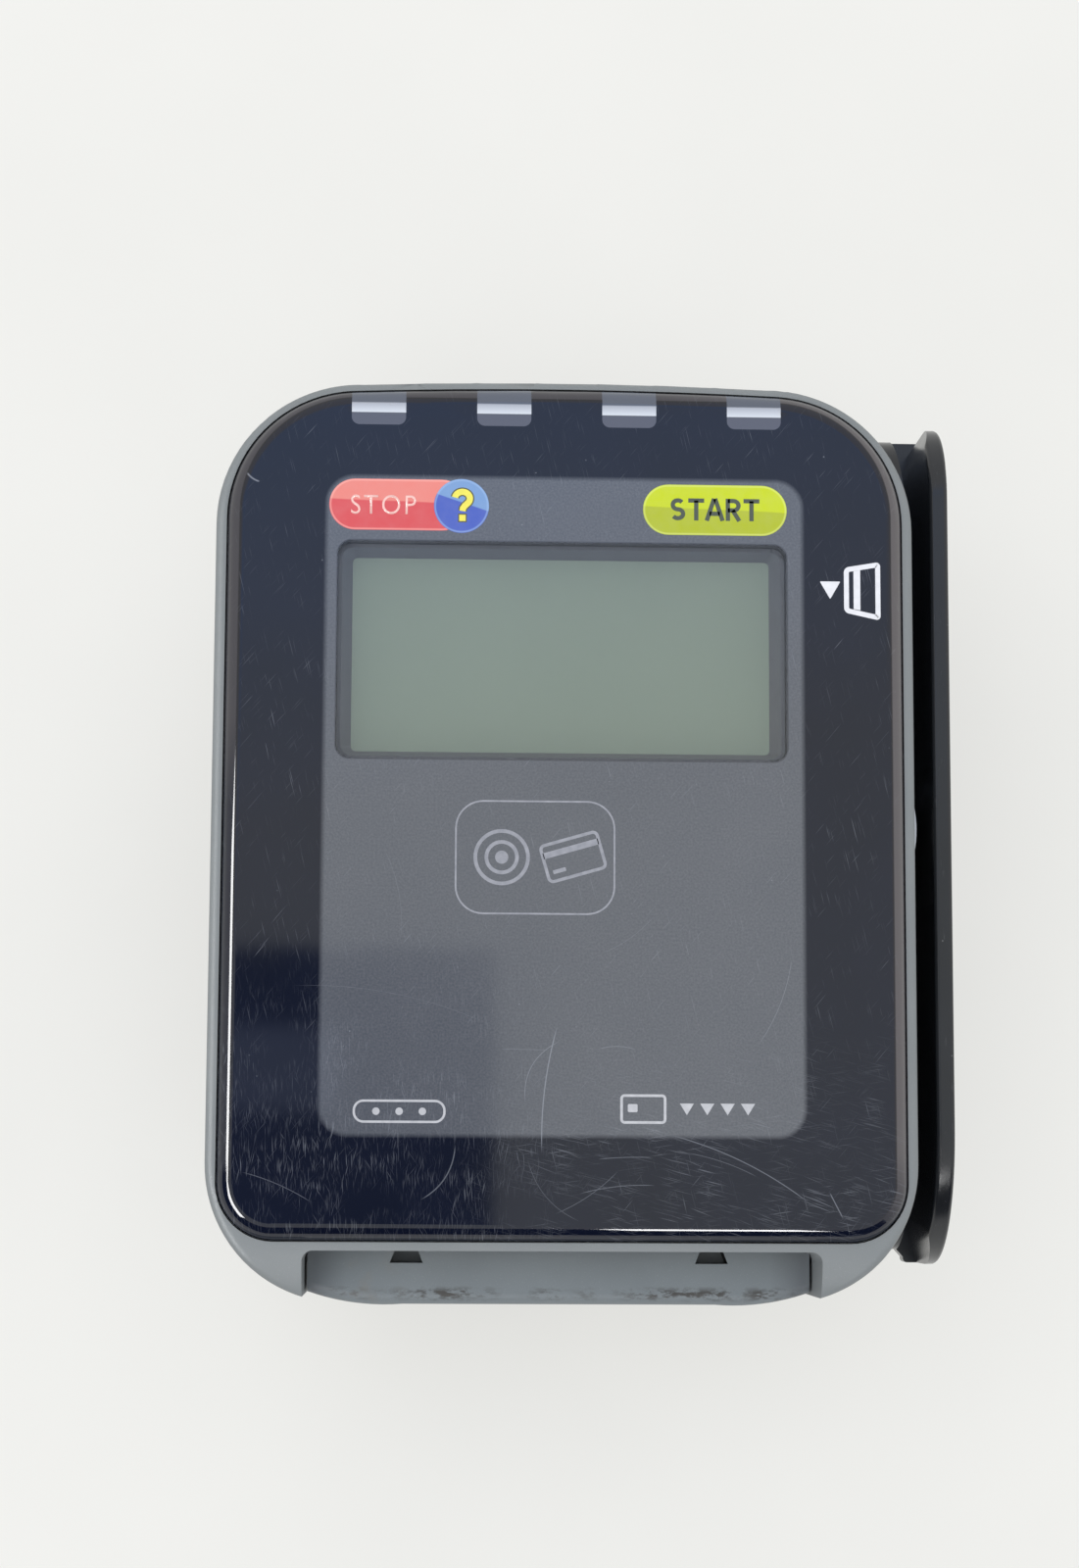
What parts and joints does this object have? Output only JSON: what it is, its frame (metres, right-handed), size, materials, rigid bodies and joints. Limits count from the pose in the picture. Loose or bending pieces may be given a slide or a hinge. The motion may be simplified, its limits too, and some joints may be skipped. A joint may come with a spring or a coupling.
{
  "type": "card payment terminal",
  "caption": "Panel-mounted card payment terminal with a glossy contactless face, a display, a chip card slot at the lower edge and a swipe rail along one side.",
  "frame": {"origin": "on the rear face, under the middle of the whole part", "axes": "+Z out of the front face, +Y towards the top edge, +X towards the swipe rail"},
  "size_m": [0.0856, 0.1063, 0.058],
  "materials": {
    "window_black": "gloss",
    "light_clear": "translucent",
    "display_clear": "gloss",
    "bezel_black": "satin",
    "lcd_green": "gloss",
    "white_plastic": "matte",
    "sheet_steel": "satin",
    "flex_amber": "satin",
    "foam_black": "matte",
    "housing_grey": "matte",
    "rail_black": "gloss",
    "reader_black": "matte",
    "gold": "bright",
    "lever_white": "matte",
    "zinc_steel": "bright",
    "board_green": "satin",
    "copper": "bright",
    "cell_steel": "bright",
    "chassis_black": "matte",
    "case_black": "matte",
    "label_white": "matte",
    "socket_black": "satin",
    "button_grey": "matte",
    "led_white": "gloss"
  },
  "bodies": {
    "terminal": {"antenna_board": "board_green", "antenna_coil": "copper", "backup_cell": "cell_steel", "board_ribbon": "flex_amber", "board_screws": "zinc_steel", "button_switch": "socket_black", "buzzer": "socket_black", "card_guide": "housing_grey", "cell_holder": "socket_black", "chassis": "chassis_black", "contact_carrier": "reader_black", "display_bezel": "bezel_black", "display_carrier": "reader_black", "display_window": "display_clear", "ethernet_jack": "socket_black", "ethernet_pins": "gold", "front_housing": "housing_grey", "front_window": "window_black", "head_flex": "flex_amber", "head_spring": "zinc_steel", "housing_screws": "zinc_steel", "io_board": "board_green", "io_screws": "zinc_steel", "lcd_backlight": "white_plastic", "lcd_flex": "flex_amber", "lcd_frame": "sheet_steel", "lcd_glass": "lcd_green", "light_pipes": "light_clear", "main_board": "board_green", "panel_gasket": "foam_black", "panel_studs": "zinc_steel", "power_header": "white_plastic", "power_pins": "gold", "rail_screws": "zinc_steel", "rating_plate": "label_white", "reader_base": "reader_black", "reader_cover": "reader_black", "rear_case": "case_black", "rear_screws": "zinc_steel", "sam_sockets": "socket_black", "security_shield": "sheet_steel", "status_leds": "led_white", "swipe_rail": "rail_black", "tamper_switches": "socket_black", "usb_port": "sheet_steel", "window_gasket": "foam_black"},
    "read_head": {"mag_head": "sheet_steel"},
    "switch_lever": {"card_switch_lever": "lever_white"},
    "contacts": {"contact_springs": "gold"},
    "lower_plunger": {"tamper_plunger_lower": "lever_white"},
    "upper_plunger": {"tamper_plunger_upper": "lever_white"},
    "service_key": {"service_button": "button_grey"},
    "module_door": {"sam_door": "case_black"}
  },
  "joints": [
    {"name": "read_head_float", "type": "slide", "parent": "terminal", "child": "read_head", "axis": [-1, 0, 0], "range_m": [0, 0.0008], "stiffness_N_per_m": 300, "springref_m": -0.0005, "deforming": ["head_spring", "head_flex"]},
    {"name": "card_switch_pivot", "type": "hinge", "parent": "terminal", "child": "switch_lever", "pos_m": [-0.02445, 0.00515, 0.0442], "axis": [1, 0, 0], "range_deg": [-14, 0], "stiffness_Nm_per_rad": 0.002, "springref_deg": 8.59},
    {"name": "contact_press", "type": "slide", "parent": "terminal", "child": "contacts", "axis": [0, 0, -1], "range_m": [0, 0.0005], "stiffness_N_per_m": 400, "springref_m": -0.0003},
    {"name": "lower_plunger_slide", "type": "slide", "parent": "terminal", "child": "lower_plunger", "axis": [0, 0, 1], "range_m": [0, 0.0018], "stiffness_N_per_m": 300, "springref_m": -0.002},
    {"name": "upper_plunger_slide", "type": "slide", "parent": "terminal", "child": "upper_plunger", "axis": [0, 0, 1], "range_m": [0, 0.0018], "stiffness_N_per_m": 300, "springref_m": -0.002},
    {"name": "service_button_press", "type": "slide", "parent": "terminal", "child": "service_key", "axis": [0, 1, 0], "range_m": [0, 0.0008], "stiffness_N_per_m": 400, "springref_m": -0.0005},
    {"name": "module_door_hinge", "type": "hinge", "parent": "terminal", "child": "module_door", "pos_m": [-0.00245, 0.03965, 0.0184], "axis": [1, 0, 0], "range_deg": [0, 100]}
  ]
}
